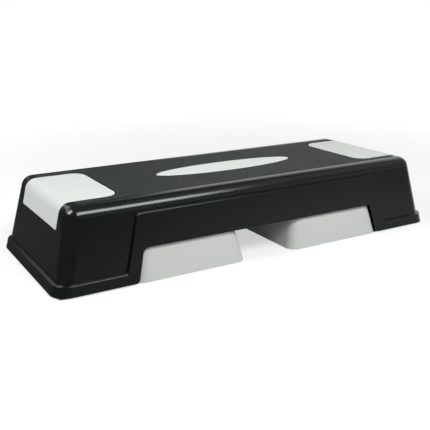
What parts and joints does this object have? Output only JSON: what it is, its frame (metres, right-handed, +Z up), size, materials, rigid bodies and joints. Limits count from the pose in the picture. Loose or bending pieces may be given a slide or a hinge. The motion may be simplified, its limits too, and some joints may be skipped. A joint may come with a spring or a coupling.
{
  "type": "aerobic step platform",
  "caption": "Low exercise step: black moulded deck with leaning walls and arched sides, grey end pads and oval inlay, and grey plug-in risers stowed underneath.",
  "frame": {"origin": "on the floor under the middle of the deck", "axes": "+X along the deck, -Y towards the pictured long side, +Z up"},
  "size_m": [0.68, 0.264, 0.117],
  "materials": {
    "deck_black": "fine moulded grain, black",
    "pad_grey": "soft matte grip, light grey",
    "inlay_grey": "smooth matte, light grey, blank",
    "riser_grey": "fine moulded grain, light grey",
    "foot_rubber": "matte rubber",
    "screw_steel": "plain zinc-plated"
  },
  "bodies": {
    "deck": {"deck_shell": "deck_black", "centre_inlay": "inlay_grey", "inlay_screws": "screw_steel", "end_pad_left": "pad_grey", "end_pad_right": "pad_grey", "end_pad_screws_left": "screw_steel", "end_pad_screws_right": "screw_steel", "deck_foot_front_left": "foot_rubber", "deck_foot_front_right": "foot_rubber", "deck_foot_back_left": "foot_rubber", "deck_foot_back_right": "foot_rubber"},
    "riser_left": {"riser_left": "riser_grey", "riser_pad_left_front_inner": "foot_rubber", "riser_pad_left_front_outer": "foot_rubber", "riser_pad_left_back_inner": "foot_rubber", "riser_pad_left_back_outer": "foot_rubber"},
    "riser_right": {"riser_right": "riser_grey", "riser_pad_right_front_inner": "foot_rubber", "riser_pad_right_front_outer": "foot_rubber", "riser_pad_right_back_inner": "foot_rubber", "riser_pad_right_back_outer": "foot_rubber"}
  },
  "joints": [
    {"name": "riser_left_pull", "type": "slide", "parent": "deck", "child": "riser_left", "axis": [0, 0, -1], "range_m": [0, 0.075]},
    {"name": "riser_right_pull", "type": "slide", "parent": "deck", "child": "riser_right", "axis": [0, 0, -1], "range_m": [0, 0.075]}
  ]
}
